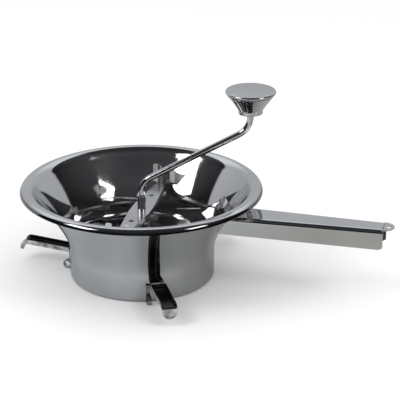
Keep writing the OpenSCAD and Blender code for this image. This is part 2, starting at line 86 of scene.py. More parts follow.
# Where the camera stands, in degrees and metres, and the point that it looks at, in millimetres
CAMERA_AZ, CAMERA_EL, CAMERA_FAR, LENS = 14.57, 21.67, 1.8, 161
LOOK_RIGHT, LOOK_UP, LOOK_HEIGHT = 57.9, 71.0, 2.0


# ---------------------------------------------------------------- paths

def curve(a, b, c, d, t):
    """Point at share t of a cubic Bezier curve."""
    s = 1 - t
    return a * s**3 + b * (3 * t * s * s) + c * (3 * t * t * s) + d * t**3


def arc(centre, r, start, end, steps):
    """Points along a circle's arc, between two angles in degrees."""
    turn = [math.radians(start + (end - start) * i / steps) for i in range(steps + 1)]
    return [centre + Vector((math.cos(a), math.sin(a))) * r for a in turn]


def side_of(path, i):
    """Left-hand unit normal of a 2-D path at point i, and how far a mitre reaches there."""
    ahead = (path[min(i + 1, len(path) - 1)] - path[min(i, len(path) - 2)]).normalized()
    behind = (path[max(i, 1)] - path[max(i - 1, 0)]).normalized()
    a, b = Vector((-ahead.y, ahead.x)), Vector((-behind.y, behind.x))
    n = (a + b).normalized()
    return n, 1 / max(0.4, n.dot(a))


def shifted(path, d):
    """The path moved sideways by d, with mitred corners."""
    return [p + side_of(path, i)[0] * (d * side_of(path, i)[1]) for i, p in enumerate(path)]


def flare(t):
    """Point of the bowl's flare: 0 at the drum's top and 1 under the rim."""
    return curve(Vector((DRUM_R, DRUM_H)), Vector((DRUM_R, DRUM_H + 19)),
                 Vector((RIM_R - FLANGE_W - 18, BOWL_H - 26)), Vector((RIM_R - FLANGE_W, UNDER_Z - 1)), t)


def flare_radius(z):
    """Outer radius of the bowl's wall at height z."""
    low, high = 0.0, 1.0
    for _ in range(24):
        t = (low + high) / 2
        low, high = (t, high) if flare(t).y < z else (low, t)
    return flare(low).x if z > DRUM_H else DRUM_R


def smooth_step(x, a, b):
    t = min(1.0, max(0.0, (x - a) / (b - a)))
    return t * t * (3 - 2 * t)


# ---------------------------------------------------------------- meshes

def piece(name, points, faces, material, body, nodes, slot, sharp):
    """Smooth mesh object from points in millimetres, tied to its body; the CAD nodes it stands for are
    hidden, and the slot is not used.
    """
    mesh = bpy.data.meshes.new(name)
    mesh.from_pydata([Vector(p) * MM for p in points], [], faces)
    mesh.validate()
    mesh.materials.append(material)
    mesh.polygons.foreach_set("use_smooth", [True] * len(mesh.polygons))
    mesh.set_sharp_from_angle(angle=math.radians(sharp))
    obj = bpy.data.objects.new(name, mesh)
    bpy.context.scene.collection.objects.link(obj)
    if body:
        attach(obj, body)
    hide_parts(*nodes)
    return obj


def grid_faces(rows, columns, wrap_rows=False, wrap_columns=False, first=0, flip=False):
    """Quads between neighbouring points of a grid that is listed row by row."""
    faces = []
    for i in range(rows if wrap_rows else rows - 1):
        for j in range(columns if wrap_columns else columns - 1):
            a, b = first + i * columns, first + (i + 1) % rows * columns
            c, d = j, (j + 1) % columns
            quad = [a + c, b + c, b + d, a + d]
            faces.append(quad[::-1] if flip else quad)
    return faces


def revolved(profile, steps, place=Matrix.Identity(4)):
    """Closed 2-D profile (radius, height) turned about Z."""
    points = []
    for i in range(steps):
        a = 2 * math.pi * i / steps
        points += [place @ Vector((p.x * math.cos(a), p.x * math.sin(a), p.y)) for p in profile]
    return points, grid_faces(steps, len(profile), True, True)


def shell(outer, inner):
    """Closed sheet between two grids of points."""
    rows, columns = len(outer), len(outer[0])
    points = [p for row in outer for p in row] + [p for row in inner for p in row]
    n = rows * columns
    faces = grid_faces(rows, columns) + grid_faces(rows, columns, first=n, flip=True)
    edge = list(range(columns)) + [i * columns + columns - 1 for i in range(1, rows)]
    edge += [(rows - 1) * columns + j for j in range(columns - 2, -1, -1)]
    edge += [i * columns for i in range(rows - 2, 0, -1)]
    for k, a in enumerate(edge):
        b = edge[(k + 1) % len(edge)]
        faces.append([a, b, b + n, a + n])
    return points, faces


def tube(path, radii, sides):
    """Round bar along a 3-D path, closed at both ends."""
    points, normal = [], None
    for i, p in enumerate(path):
        along = (path[min(i + 1, len(path) - 1)] - path[max(i - 1, 0)]).normalized()
        if normal is None:
            normal = along.orthogonal()
        normal = (normal - along * normal.dot(along)).normalized()
        side = along.cross(normal)
        for k in range(sides):
            a = 2 * math.pi * k / sides
            points.append(p + (normal * math.cos(a) + side * math.sin(a)) * radii[i])
    faces = grid_faces(len(path), sides, False, True, flip=True)
    last = (len(path) - 1) * sides
    faces += [list(range(sides)), [last + k for k in range(sides - 1, -1, -1)]]
    return points, faces


def plate(name, outlines, z, thick, edge):
    """Flat sheet from closed 2-D outlines (holes included), its top face at z + thick."""
    data = bpy.data.curves.new(name, "CURVE")
    data.dimensions, data.fill_mode = "2D", "BOTH"
    data.extrude = (thick / 2 - edge) * MM
    data.bevel_depth, data.bevel_resolution, data.offset = edge * MM, 2, -edge * MM
    for outline in outlines:
        spline = data.splines.new("POLY")
        spline.points.add(len(outline) - 1)
        for point, p in zip(spline.points, outline):
            point.co = (p[0] * MM, p[1] * MM, 0, 1)
        spline.use_cyclic_u = True
    holder = bpy.data.objects.new(name + "_line", data)
    bpy.context.scene.collection.objects.link(holder)
    bpy.context.view_layer.update()
    mesh = bpy.data.meshes.new_from_object(holder.evaluated_get(bpy.context.evaluated_depsgraph_get()))
    bpy.data.objects.remove(holder)
    mesh.name = name
    mesh.transform(Matrix.Translation((0, 0, (z + thick / 2) * MM)))
    obj = bpy.data.objects.new(name, mesh)
    bpy.context.scene.collection.objects.link(obj)
    return obj


def ring(r, n, x=0.0, y=0.0):
    turn = [2 * math.pi * i / n for i in range(n)]
    return [(x + r * math.cos(a), y + r * math.sin(a)) for a in turn]


def taken(obj):
    """The points and faces of a mesh object, which is then removed."""
    points = [(obj.matrix_world @ v.co) / MM for v in obj.data.vertices]
    faces = [list(p.vertices) for p in obj.data.polygons]
    bpy.data.objects.remove(obj)
    return points, faces


def joined(*parts):
    """One list of points and faces out of several."""
    points, faces = [], []
    for p, f in parts:
        first = len(points)
        points += list(p)
        faces += [[first + v for v in face] for face in f]
    return points, faces


# ---------------------------------------------------------------- materials

def nodes_of(material):
    material.use_nodes = True
    tree = material.node_tree
    return tree, tree.nodes["Principled BSDF"]


def noise(tree, scale, detail, stretch=(1, 1, 1)):
    """Noise texture in the object's own space, 0 to 1."""
    place = tree.nodes.new("ShaderNodeTexCoord")
    mapping = tree.nodes.new("ShaderNodeMapping")
    mapping.inputs["Scale"].default_value = stretch
    texture = tree.nodes.new("ShaderNodeTexNoise")
    texture.inputs["Scale"].default_value = scale
    texture.inputs["Detail"].default_value = detail
    tree.links.new(place.outputs["Object"], mapping.inputs["Vector"])
    tree.links.new(mapping.outputs["Vector"], texture.inputs["Vector"])
    return texture.outputs["Fac"]


def ranged(tree, value, low, high, from_low=0.3, from_high=0.7):
    """Maps a value from one range to another, clamped at its ends."""
    node = tree.nodes.new("ShaderNodeMapRange")
    node.inputs["From Min"].default_value = from_low
    node.inputs["From Max"].default_value = from_high
    node.inputs["To Min"].default_value = low
    node.inputs["To Max"].default_value = high
    tree.links.new(value, node.inputs["Value"])
    return node.outputs["Result"]


def summed(tree, a, b):
    node = tree.nodes.new("ShaderNodeMath")
    node.operation = "ADD"
    tree.links.new(a, node.inputs[0])
    tree.links.new(b, node.inputs[1])
    return node.outputs[0]


def mixed(tree, a, b, factor):
    """Colour a where the factor is 0 and b where it is 1; each is a colour or a node's output."""
    mix = tree.nodes.new("ShaderNodeMix")
    mix.data_type = "RGBA"
    tree.links.new(factor, mix.inputs["Factor"])
    for socket, value in (("A", a), ("B", b)):
        if isinstance(value, tuple):
            mix.inputs[socket].default_value = (*value, 1)
        else:
            tree.links.new(value, mix.inputs[socket])
    return mix.outputs["Result"]


def bumped(tree, shader, height, distance):
    bump = tree.nodes.new("ShaderNodeBump")
    bump.inputs["Strength"].default_value = 1.0
    bump.inputs["Distance"].default_value = distance
    tree.links.new(height, bump.inputs["Height"])
    tree.links.new(bump.outputs["Normal"], shader.inputs["Normal"])


def steel(name, dark, light, rough, dent, scratch, grain=(1, 1, 1), metallic=1.0, patch=14):
    """Steel with uneven tone, smudged roughness, fine scratches and a slightly wavy surface."""
    material = bpy.data.materials.new(name)
    tree, shader = nodes_of(material)
    shader.inputs["Metallic"].default_value = metallic
    tone = ranged(tree, noise(tree, patch, 3), 0, 1)
    tree.links.new(mixed(tree, dark, light, tone), shader.inputs["Base Color"])
    rough_low, rough_high = rough
    smudge = ranged(tree, noise(tree, 26, 4), rough_low, rough_high, 0.42, 0.72)
    hair = ranged(tree, noise(tree, 420, 2, grain), 0.0, (rough_high - rough_low) * 0.5, 0.55, 0.75)
    tree.links.new(summed(tree, smudge, hair), shader.inputs["Roughness"])
    waves = ranged(tree, noise(tree, 22, 1), 0, dent)
    lines = ranged(tree, noise(tree, 900, 2, grain), 0, scratch, 0.5, 0.8)
    bumped(tree, shader, summed(tree, waves, lines), 0.001)
    return material


def polished_steel():
    return steel("polished_steel", (0.56, 0.56, 0.57), (0.66, 0.66, 0.665), (0.035, 0.10), 0.10, 0.006)


# Darker steel for the lower part of the bowl's lip: a painted dark reflection.
def lip_painted_dark_reflection():
    return steel("lip_painted_dark_reflection", (0.20, 0.20, 0.205), (0.28, 0.28, 0.285), (0.03, 0.08), 0.10, 0.006)


# Near-black steel for the feet; inside the handle it is painted shade.
def foot_steel():
    return steel("foot_steel", (0.055, 0.055, 0.058), (0.10, 0.10, 0.105), (0.14, 0.30), 0.06, 0.02)


# Bright, mottled steel for the feet's tips; it also paints the glint at the root bends and the highlights
# along the arms' sides.
def tip_and_glint_steel():
    return steel("tip_and_glint_steel", (0.10, 0.10, 0.105), (0.72, 0.72, 0.725), (0.12, 0.34), 0.5, 0.05,
                 metallic=0.4, patch=150)


def catch_steel():
    return steel("catch_steel", (0.16, 0.16, 0.165), (0.60, 0.60, 0.61), (0.12, 0.28), 0.10, 0.02, patch=120)


def plain_steel():
    return steel("plain_steel", (0.45, 0.45, 0.46), (0.60, 0.60, 0.61), (0.16, 0.30), 0.05, 0.02)


# Paler and partly matte steel for the bridge brackets: a painted brightness where they catch the light.
def bracket_brightened_steel():
    return steel("bracket_brightened_steel", (0.45, 0.45, 0.46), (0.90, 0.90, 0.905), (0.10, 0.24), 0.10, 0.02,
                 metallic=0.35, patch=60)


def satin_steel():
    return steel("satin_steel", (0.50, 0.50, 0.51), (0.60, 0.60, 0.61), (0.16, 0.26), 0.03, 0.015,
                 grain=(0.15, 1, 1))


def spring_wire():
    return steel("spring_wire", (0.38, 0.38, 0.39), (0.5, 0.5, 0.51), (0.15, 0.3), 0.03, 0.02)


def bush_plastic():
    material = bpy.data.materials.new("bush_plastic")
    tree, shader = nodes_of(material)
    tone = mixed(tree, (0.012, 0.012, 0.012), (0.03, 0.03, 0.031), noise(tree, 60, 4))
    tree.links.new(tone, shader.inputs["Base Color"])
    tree.links.new(ranged(tree, noise(tree, 200, 3), 0.4, 0.6), shader.inputs["Roughness"])
    bumped(tree, shader, noise(tree, 900, 3), 0.0001)
    return material


# ---------------------------------------------------------------- bowl

def bowl_profile():
    """Ledge, corner, drum, flare, flange and rolled lip, then back along the inside."""
    outside = [Vector((LEDGE_R, 0))] + arc(Vector((DRUM_R - CORNER_R, CORNER_R)), CORNER_R, -90, 0, 12)
    steps, kept = 40, 37
    outside += [flare(i / steps) for i in range(kept + 1)]
    flange_in = RIM_R - FLANGE_W
    fillet = [flare(kept / steps), flare(1) + Vector((-0.9, -0.4)), Vector((flange_in + 1.2, UNDER_Z)),
              Vector((flange_in + 3.2, UNDER_Z))]
    outside += [curve(*fillet, i / 8) for i in range(1, 9)]
    roll, fall, turn = 4.6, LIP_H - WALL - 0.4, 78
    centre = Vector((RIM_R - WALL - roll, UNDER_Z - fall))
    for i in range(15):
        a = math.radians(90 - turn * i / 14)
        outside.append(centre + Vector((roll * math.cos(a), fall * math.sin(a))))
    inside = shifted(outside, WALL)
    edge = (outside[-1] + inside[-1]) / 2 + Vector((0, -0.25))
    return outside + [edge] + inside[::-1]


def make_bowl(material, lip):
    """The shell; the lower part of its lip gets a darker steel, a painted dark reflection."""
    points, faces = revolved(bowl_profile(), 288)
    obj = piece("bowl_shell", points, faces, material, "mill", ["bowl"], "polished_steel", 40)
    obj.data.materials.append(lip)
    # Faces low on the outside of the lip take the darker steel, a painted dark reflection.
    lip_r, lip_z = (RIM_R - 2.6) * MM, (BOWL_H - 1.9) * MM
    for polygon in obj.data.polygons:
        middle = polygon.center
        if math.hypot(middle.x, middle.y) > lip_r and middle.z < lip_z:
            polygon.material_index = 1


# ---------------------------------------------------------------- handle

def along_handle(x):
    """0 at the handle's root and 1 at its end."""
    return (x - HANDLE_ROOT) / (HANDLE_END - HANDLE_ROOT)


def handle_section(x, inset, droop):
    """Section of the channel at x: up one side, round the corner, across and down again."""
    width = HANDLE_ROOT_W + (HANDLE_TIP_W - HANDLE_ROOT_W) * along_handle(x)
    half, r = width / 2 - inset, HANDLE_ROUND - inset
    drop = HANDLE_DROP * max(0.0, along_handle(x))
    top, low = HANDLE_Z - inset, HANDLE_Z - HANDLE_FLANGE - drop + droop
    side = [(-half, low + (top - r - low) * i / 8) for i in range(9)]
    turn = [math.pi / 2 * i / 6 for i in range(1, 7)]
    corner = [(-half + r - r * math.cos(a), top - r + r * math.sin(a)) for a in turn]
    across = [((-half + r) * (1 - i / 8), top) for i in range(1, 9)]
    left = side + corner + across
    return left + [(-y, z) for y, z in left[-2::-1]]


def handle_point(m, t, inset):
    """Point m of the section, at share t of the way from the bowl's flare to the handle's end."""
    end_round, x = 2.0, 100.0
    for _ in range(6):
        y, z = handle_section(x, inset, 0)[m]
        start = math.sqrt(max(1.0, flare_radius(z) ** 2 - y * y)) + TOUCH
        x = start + (HANDLE_END - start) * t
    near = max(0.0, x - (HANDLE_END - end_round))
    droop = end_round - math.sqrt(max(0.0, end_round**2 - near**2))
    y, z = handle_section(x, inset, droop)[m]
    return Vector((x, y, z))


def handle_grid(inset):
    stations, count = 40, len(handle_section(HANDLE_END, inset, 0))
    shares = [(k / stations) ** 0.8 for k in range(stations + 1)]
    return [[handle_point(m, t, inset) for m in range(count)] for t in shares]


def handle_tongue():
    """Rounded tongue with the hanging hole."""
    w = HANDLE_TIP_W / 2 - 1.5
    centre = HANDLE_END + TONGUE - w
    turn = [math.radians(-94 + 188 * i / 48) for i in range(49)]
    outline = [(centre + w * math.cos(a), w * math.sin(a)) for a in turn]
    hole = ring(HANG_HOLE_R, 40, HANDLE_END + TONGUE - 5.5)
    return taken(plate("handle_tongue", [outline, hole], HANDLE_Z - STRIP_T, STRIP_T, 0.3))


def handle_tab():
    """The tab that lies on the flare between the channel's sides."""
    rows = []
    for d in (TOUCH, STRIP_T):
        grid = []
        for i in range(13):
            z = HANDLE_Z - HANDLE_FLANGE + (HANDLE_FLANGE - STRIP_T) * i / 12
            r = flare_radius(z) + d
            span = math.asin((HANDLE_ROOT_W / 2 - 3) / r)
            turn = [span * (j / 8 - 1) for j in range(17)]
            grid.append([Vector((r * math.cos(a), r * math.sin(a), z)) for a in turn])
        rows.append(grid)
    return shell(rows[1], rows[0])


def make_handle(material, dark):
    """The channel with its tongue and tab; the channel's inside gets the dark steel, a painted shade under
    the handle.
    """
    outside, inside = handle_grid(0), handle_grid(STRIP_T)
    parts = joined(shell(outside, inside), handle_tongue(), handle_tab())
    obj = piece("handle_channel", *parts, material, "mill", ["handle"], "polished_steel", 34)
    obj.data.materials.append(dark)
    count = len(outside) * len(outside[0])
    # Faces of the inner sheet take the dark steel: painted shade inside the channel.
    for polygon in obj.data.polygons:
        if all(count <= v < 2 * count for v in polygon.vertices):
            polygon.material_index = 1


# ---------------------------------------------------------------- feet and catches

def foot_path(rise):
    """Strip down the flare, round the root, out along the arm and down at the tip."""
    bend, reach = FOOT_BEND, FOOT_REACH - FOOT_BEND
    end = Vector((reach, FOOT_Z + (reach - DRUM_R) * math.tan(math.radians(rise))))
    line = [flare(STRIP_SHARE * i / 20) for i in range(20, 0, -1)]
    line += [Vector((DRUM_R, DRUM_H - i * (DRUM_H - FOOT_Z - bend) / 6)) for i in range(7)]
    line += arc(Vector((DRUM_R + bend, FOOT_Z + bend)), bend, 184, 270 + rise, 8)
    start = line[-1]
    line += [start + (end - start) * i / 12 for i in range(1, 12)]
    line += arc(end + Vector((0, -bend)), bend, 90 + rise, 22, 8)
    tail = line[-1]
    down = end + Vector((4.6, -8.5)) - tail
    line += [tail + down * i / 6 for i in range(1, 7)]
    return line


def foot_section(half, high, inset):
    """Section across a foot: a flat web between two low sides, with rounded corners."""
    r, h = 1.3 - inset * 0.6, half - inset
    turn = [math.pi / 2 * k / 4 for k in range(5)]
    corner = [(-h + r - r * math.cos(a), r - r * math.sin(a)) for a in turn]
    lift = max(0.02, high - inset - r)
    side = [(-h, r + lift), (-h, r + lift * 0.5)]
    flat = [((-h + r) * (1 - k / 4), 0) for k in range(1, 5)]
    left = side + corner + flat
    return left + [(-y, z) for y, z in left[-2::-1]]


def foot_rows(rise, inset):
    """Sections along the foot: narrow and shifted on the strip, wide with flanges on the arm."""
    path = foot_path(rise)
    lean = math.tan(math.radians(STRIP_LEAN))
    rows = []
    for i, p in enumerate(path):
        normal = side_of(path, i)[0]
        on_arm = smooth_step(-p.y, -(FOOT_Z + 8), -(FOOT_Z + 3.5))
        left = sum((path[k + 1] - path[k]).length for k in range(i, len(path) - 1))
        half = FOOT_STRIP_W / 2 + (FOOT_ARM_W - FOOT_STRIP_W) / 2 * on_arm
        if left < half:
            half *= math.sqrt(max(0.06, 1 - (1 - left / half) ** 2))
        high = STRIP_EDGE + (FOOT_FLANGE - STRIP_EDGE) * smooth_step(p.x, DRUM_R + 0.5, DRUM_R + 4) * on_arm
        high = max(high * smooth_step(left, 5, 12), STRIP_T + 0.05)
        centre = -STRIP_SHIFT * (1 - on_arm) - lean * max(0.0, p.y - FOOT_Z - 8)
        base = p + normal * (inset + 0.12)
        row = []
        for y, z in foot_section(half, high, inset):
            place = base + normal * z
            row.append(Vector((place.x, centre + y, place.y)))
        rows.append(row)
    return rows


def turned(parts, azimuth):
    """Points and faces turned about the spindle."""
    turn = Matrix.Rotation(math.radians(azimuth), 4, "Z")
    return [turn @ Vector(p) for p in parts[0]], parts[1]


def make_foot(name, azimuth, rise, dark, bright):
    """Dark strip and arm; the tip, the arm's outer sides and the bend at the root get the bright steel: the
    tip's own bright metal, a painted glint at the root's bend, and along the outer sides partly the metal's
    edge and partly a painted highlight.
    """
    lower, upper = foot_rows(rise, 0.0), foot_rows(rise, STRIP_T)
    parts = turned(shell(lower, upper), azimuth + FOOT_TURN)
    obj = piece(name + "_strip", *parts, dark, "mill", [name], "foot_steel", 50)
    obj.data.materials.append(bright)
    columns, count = len(lower[0]), len(lower) * len(lower[0])
    root_row, arm_row, tip_row, side_columns = 25, 27, len(lower) - 11, 5
    # Tip rows, root-bend rows and the arm's outer sides take the bright steel; at the bend it is a painted
    # glint, on the sides partly a painted highlight.
    for polygon in obj.data.polygons:
        row = min(v % count for v in polygon.vertices) // columns
        across = [v % columns for v in polygon.vertices]
        on_side = max(across) < side_columns or min(across) >= columns - side_columns
        outer_side = on_side and max(polygon.vertices) < count and row >= arm_row
        if row >= tip_row or root_row <= row < arm_row or outer_side:
            polygon.material_index = 1


def make_catch(name, azimuth, y, material):
    """Spring strip that hangs beside a foot and ends in a rolled loop."""
    wall_x = math.sqrt(DRUM_R**2 - y * y)
    centre = Vector((wall_x + CURL_R + 0.5, CURL_R + 0.3))
    fall = CATCH_TOP - centre.y - 2
    path = [Vector((wall_x + CATCH_OFF, CATCH_TOP - fall * i / 10)) for i in range(10)]
    path += arc(centre, CURL_R, 180, 500, 36)
    sides = (y - CATCH_W / 2, y + CATCH_W / 2)
    outer = [[Vector((p.x, v, p.y)) for v in sides] for p in path]
    inner = [[Vector((p.x, v, p.y)) for v in sides] for p in shifted(path, CATCH_T)]
    parts = turned(shell(outer, inner), azimuth + FOOT_TURN)
    piece(name + "_strip", *parts, material, "mill", [name], "plain_steel", 40)


# ---------------------------------------------------------------- bridge

def bar_outline():
    """The bar seen from above: straight middle, tapers to the shoulders, then the tongues."""
    a, b, tongue = BRIDGE_MID_W / 2, BRIDGE_END_W / 2, TONGUE_W / 2
    waist, taper_y, taper = a - 0.6, BAR_STRAIGHT + 4, SHOULDER - BAR_STRAIGHT - 6
    half = [(a, 0), (a, BAR_STRAIGHT), (waist, taper_y)]
    half += [(waist + (b - waist) * i / 6, taper_y + taper * i / 6) for i in range(1, 7)]
    half += [(b - 0.8, SHOULDER), (tongue, SHOULDER + 1.5)]
    half += [(tongue, BRIDGE_END - 1), (tongue - 1, BRIDGE_END)]
    far = half + [(-x, y) for x, y in half[::-1]]
    return far + [(-x, -y) for x, y in far]


def bar_flange(s):
    """The side wall under one long edge of the bar."""
    a, b = BRIDGE_MID_W / 2, BRIDGE_END_W / 2
    heights = (BRIDGE_Z - 0.9, BRIDGE_Z - 2, BRIDGE_Z - BAR_FLANGE)
    line = [(a, 0), (a, BAR_STRAIGHT)]
    line += [(a + (b - a) * i / 6, BAR_STRAIGHT + (SHOULDER - 1 - BAR_STRAIGHT) * i / 6) for i in range(1, 7)]
    line = [(x, -y) for x, y in line[:0:-1]] + line
    outer = [[Vector((s * x, y, z)) for z in heights] for x, y in line]
    inner = [[Vector((s * (x - BRIDGE_T), y, z)) for z in heights] for x, y in line]
    return shell(outer, inner) if s > 0 else shell(inner, outer)


def make_bridge_bar(material):
    holes = [ring(BUSH_R, 48), ring(BAR_HOLE_R, 32, 0, BAR_HOLE_Y), ring(BAR_HOLE_R, 32, 0, -BAR_HOLE_Y)]
    top = taken(plate("bar_top", [bar_outline()] + holes, BRIDGE_Z - BRIDGE_T, BRIDGE_T, 0.35))
    parts = joined(top, bar_flange(-1), bar_flange(1))
    piece("bridge_plate", *parts, material, "mill", ["bridge_bar"], "polished_steel", 34)


def bracket_reach(x, z):
    """How far out a bracket's sheet may go before it meets the flare's inner face."""
    return math.sqrt((flare_radius(z + 0.8) - WALL - 0.6) ** 2 - x * x)


def bracket_depth(x, z):
    """Outer edge of a bracket's side plate, which slopes down to the wall."""
    slope = BRACKET_R + 1.5 + (BRACKET_TOP - z) * 1.3
    return max(BRACKET_R + STRIP_T, min(bracket_reach(x, z), slope))


def bracket_parts(side):
    """Two side plates with an ear each, on a shelf that reaches to the flare's inner face."""
    low, t = BRIDGE_Z - BRIDGE_T - STRIP_T, STRIP_T
    heights = [low + (BRACKET_TOP - low) * i / 12 for i in range(13)]
    wide = SLOT_HALF + t
    parts = []
    for s in (-1, 1):
        outer = [[Vector((s * wide, y, z)) for y in (BRACKET_R, bracket_depth(wide, z))] for z in heights]
        inner = [[Vector((s * SLOT_HALF, y, z)) for y in (BRACKET_R, bracket_depth(SLOT_HALF, z))]
                 for z in heights]
        parts.append(shell(outer, inner))
        across = (SLOT_HALF, SLOT_HALF + EAR_W - 1, SLOT_HALF + EAR_W)
        ear = [[Vector((s * x, BRACKET_R, z)) for x in across] for z in heights]
        back = [[p + Vector((0, t, 0)) for p in row] for row in ear]
        ear[-1][-1].z -= 1.0
        back[-1][-1].z -= 1.0
        parts.append(shell(back, ear))
    shelf = [[Vector((x, y, low)) for y in (BRACKET_R, bracket_reach(wide, low))] for x in (-wide, wide)]
    parts.append(shell([[p + Vector((0, 0, t)) for p in row] for row in shelf], shelf))
    points, faces = joined(*parts)
    return [Vector((p.x, side * p.y, p.z)) for p in points], faces


def make_bracket(name, side, material):
    piece(name + "_sheet", *bracket_parts(side), material, "mill", [name], "polished_steel", 30)


# ---------------------------------------------------------------- crank, spring, blade and disc

def make_rod(material):
    """Spindle, two bends, then the knob's pin with its shoulder and peened head."""
    turn = 90 - SLOPE
    low_t = BEND_LOW * math.tan(math.radians(turn / 2))
    high_t = BEND_HIGH * math.tan(math.radians(turn / 2))
    high_z = LOW_Z + CRANK_R * math.tan(math.radians(SLOPE))
    foot = [(ROD_FOOT_Z, ROD_R - 0.8), (ROD_FOOT_Z + 1, ROD_R), (30, ROD_R), (60, ROD_R)]
    bends = arc(Vector((BEND_LOW, LOW_Z - low_t)), BEND_LOW, 180, 180 - turn, 18)
    bends += arc(Vector((CRANK_R - BEND_HIGH, high_z + high_t)), BEND_HIGH, -turn, 0, 18)
    shoulder, wide, head, step = KNOB_Z + 1, 1.5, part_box("crank_rod")[1].z / MM, 0.01
    pin = [(shoulder, ROD_R), (shoulder + step, ROD_R + 1.4), (shoulder + wide, ROD_R + 1.4),
           (shoulder + wide + step, ROD_R), (head - 1.7, ROD_R), (head - 1.6, ROD_R + 1.2), (head, ROD_R)]
    path = [Vector((0, 0, z)) for z, r in foot] + [Vector((p.x, 0, p.y)) for p in bends]
    path += [Vector((CRANK_R, 0, z)) for z, r in pin]
    radii = [r for z, r in foot] + [ROD_R] * len(bends) + [r for z, r in pin]
    parts = turned(tube(path, radii, 40), CRANK_AZ)
    piece("crank_bar", *parts, material, "crank", ["crank_rod"], "polished_steel", 40)


def make_spring(material):
    """Coil of wire between the heights SPRING_LOW and SPRING_HIGH, tied to no body."""
    steps, r = int(SPRING_TURNS * 40), SPRING_R - WIRE_R
    low, high = SPRING_LOW + WIRE_R + 0.05, SPRING_HIGH - WIRE_R - 0.05
    path = []
    for i in range(steps + 1):
        a = 2 * math.pi * SPRING_TURNS * i / steps
        path.append(Vector((r * math.cos(a), r * math.sin(a), low + (high - low) * i / steps)))
    parts = tube(path, [WIRE_R] * len(path), 14)
    obj = piece("press_coil", *parts, material, None, ["press_spring"], "spring_steel", 60)
    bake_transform(obj)


def make_blade(material):
    """Sheet that scrapes along one edge and rises as it goes round."""
    steps, rows, r0 = 96, 16, HUB_R - 0.3

    def place(i, j, up):
        share = i / steps
        a = math.radians(BLADE_AZ + BLADE_SPAN * share)
        r = r0 + (BLADE_R - r0) * j / rows
        return Vector((r * math.cos(a), r * math.sin(a), BLADE_Z + BLADE_RISE * share**1.3 + up))

    lower = [[place(i, j, 0) for j in range(rows + 1)] for i in range(steps + 1)]
    upper = [[place(i, j, BLADE_T) for j in range(rows + 1)] for i in range(steps + 1)]
    piece("blade_sheet", *shell(lower, upper), material, "crank", ["blade"], "polished_steel", 40)


def make_disc(material):
    """Sieve disc with rings of holes and a raised boss round the spindle's foot."""
    outlines = [ring(DISC_R, 160), ring(BOSS_R, 48)]
    rings, plain_edge, hole_r = 15, 8, 1.15
    pitch = (DISC_R - plain_edge - BOSS_R) / rings
    for k in range(1, rings + 1):
        r = BOSS_R + 2 + k * pitch
        count = int(2 * math.pi * r / (pitch * 1.05))
        for i in range(count):
            a = 2 * math.pi * (i + 0.5 * (k % 2)) / count
            outlines.append(ring(hole_r, 12, r * math.cos(a), r * math.sin(a)))
    sheet = taken(plate("disc_sheet", outlines, WALL, DISC_T, 0.12))
    bore = ROD_R + 0.06
    boss = [Vector((bore, WALL)), Vector((BOSS_R, WALL)), Vector((BOSS_R, BOSS_TOP - 0.7)),
            Vector((BOSS_R - 0.7, BOSS_TOP)), Vector((bore, BOSS_TOP))]
    parts = joined(sheet, revolved(boss, 48))
    piece("sieve_sheet", *parts, material, "mill", ["sieve_disc"], "polished_steel", 34)


# ---------------------------------------------------------------- knob

def at_knob():
    """Places a piece made round the Z axis on the knob's axis."""
    return Matrix.Rotation(math.radians(CRANK_AZ), 4, "Z") @ Matrix.Translation((CRANK_R, 0, 0))


def make_skirt(material):
    """Hollow skirt: a short neck, then a cone up to the cap."""
    line = [Vector((NECK_R - 3.5, KNOB_Z)), Vector((NECK_R - 1, KNOB_Z))]
    line += arc(Vector((NECK_R - 1, KNOB_Z + 1)), 1, -70, 0, 4) + [Vector((NECK_R, KNOB_Z + 3))]
    cone = [Vector((NECK_R, KNOB_Z + 4)), Vector((NECK_R + 2, KNOB_Z + 7)),
            Vector((KNOB_R - 5.5, KNOB_RIM_Z - 6)), Vector((KNOB_R - 1.6, KNOB_RIM_Z - 0.9))]
    line += [curve(*cone, i / 20) for i in range(21)]
    parts = revolved(line + shifted(line, SKIRT_T)[::-1], 160, at_knob())
    piece("knob_funnel", *parts, material, "knob", ["knob_skirt"], "knob_steel", 40)


def make_cap(material):
    """Disc with a rolled edge and a slightly crowned top."""
    top, bead = KNOB_Z + KNOB_H, 1.8
    line = [Vector((KNOB_R - 5, KNOB_RIM_Z)), Vector((KNOB_R - 1.4, KNOB_RIM_Z))]
    line += arc(Vector((KNOB_R - bead, KNOB_RIM_Z + bead)), bead, -70, 75, 12)
    line += [Vector((KNOB_R - 2.6 - i, top - 0.5 + 0.06 * i)) for i in range(5)]
    crown, crown_r = 0.18, KNOB_R - 8
    for i in range(8):
        line.append(Vector((crown_r * (1 - i / 8), top - crown + crown * math.sin(math.pi / 2 * i / 8))))
    line += [Vector((0.01, top)), Vector((0.01, top - SKIRT_T)), Vector((KNOB_R - 5, KNOB_RIM_Z + 1.2))]
    parts = revolved(line, 160, at_knob())
    piece("knob_disc", *parts, material, "knob", ["knob_cap"], "knob_steel", 40)


# ---------------------------------------------------------------- kept CAD nodes

def finish_node(name, material):
    """Keeps a CAD node as it is, with a material and finely rounded edges."""
    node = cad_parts[name]
    node.data.materials.clear()
    node.data.materials.append(material)
    weld = node.modifiers.new("weld", "WELD")
    weld.merge_threshold = 0.00001
    bevel = node.modifiers.new("edges", "BEVEL")
    bevel.width, bevel.segments, bevel.limit_method = 0.25 * MM, 2, "ANGLE"
    bevel.angle_limit = math.radians(40)


# ---------------------------------------------------------------- stage, lights and camera

